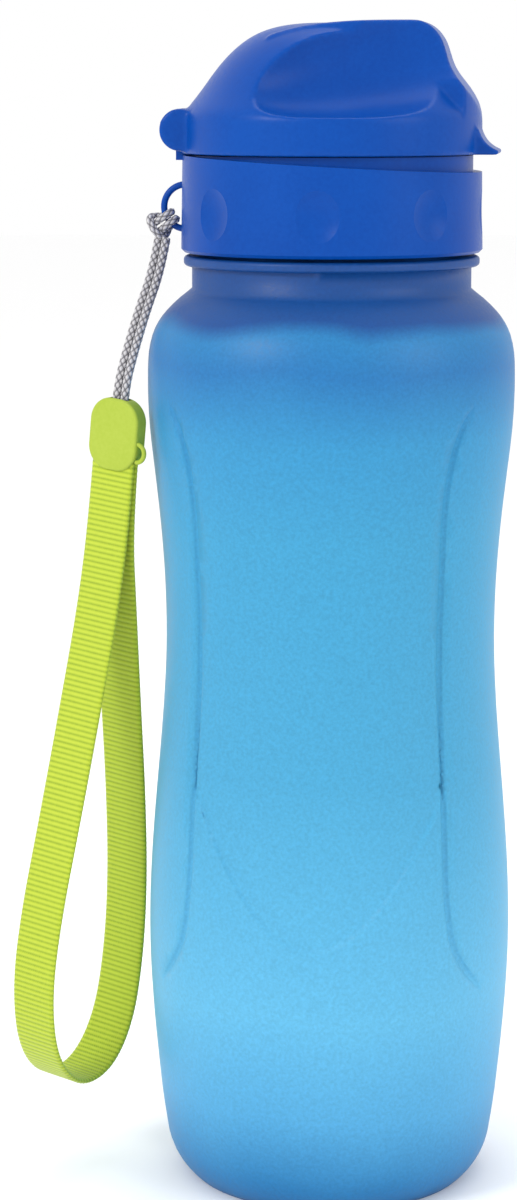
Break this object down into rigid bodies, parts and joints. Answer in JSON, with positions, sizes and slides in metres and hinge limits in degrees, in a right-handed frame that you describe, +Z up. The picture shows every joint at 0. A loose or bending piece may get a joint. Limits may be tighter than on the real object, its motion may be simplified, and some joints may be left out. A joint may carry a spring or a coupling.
{
  "type": "sports squeeze bottle",
  "caption": "Squeezable hourglass drinking bottle with a screw cap, a flip lid over a soft spout, and a wrist strap of cord and flat webbing hitched to a ring on the cap.",
  "frame": {"origin": "centre of the base, in the plane of the foot ring", "axes": "+Z up the bottle; +X towards the lid's thumb lip, with the hinge and the strap at -X; -Y is the front"},
  "size_m": [0.099, 0.073, 0.2322],
  "materials": {
    "body": "frosted translucent soft polyethylene, sky blue",
    "seal": "soft silicone ring, off-white",
    "cap": "moulded polypropylene, royal blue, satin gloss",
    "pin": "plain steel pin",
    "pad": "soft silicone pad, pale grey",
    "spout": "soft silicone spout, clear white",
    "valve": "thin silicone disc with a cross slit",
    "cord": "braided polyester cord, grey",
    "clasp": "moulded plastic, lime green",
    "crimp": "folded steel crimp",
    "webbing": "woven polyester webbing with fine cross ribs, lime green"
  },
  "bodies": {
    "bottle": {"bottle_body": "body"},
    "seal": {"neck_seal": "seal"},
    "cap": {"cap_collar": "cap", "spout": "spout", "spout_valve": "valve", "valve_retainer": "cap"},
    "lid": {"flip_lid": "cap", "lid_pad": "pad", "hinge_pin": "pin"},
    "strap": {"cord_knot": "cord", "cord_leg_left": "cord", "cord_leg_right": "cord", "clasp_front": "clasp", "clasp_back": "clasp", "clasp_crimp": "crimp", "webbing": "webbing"}
  },
  "joints": [
    {"name": "cap_rise", "type": "slide", "parent": "bottle", "child": "seal", "axis": [0, 0, 1], "range_m": [0, 0.0151]},
    {"name": "cap_turn", "type": "hinge", "parent": "seal", "child": "cap", "pos_m": [0, 0, 0], "axis": [0, 0, 1], "range_deg": [0, 1080]},
    {"name": "lid_hinge", "type": "hinge", "parent": "cap", "child": "lid", "pos_m": [-0.0286, 0, 0.2113], "axis": [0, -1, 0], "range_deg": [0, 150]},
    {"name": "strap_swing", "type": "hinge", "parent": "cap", "child": "strap", "pos_m": [-0.0289, 0, 0.1962], "axis": [0, 1, 0], "range_deg": [0, 75]}
  ],
  "couplings": [
    {"joint": "cap_rise", "follows": "cap_turn", "m_per_rad": 0.00079577}
  ]
}
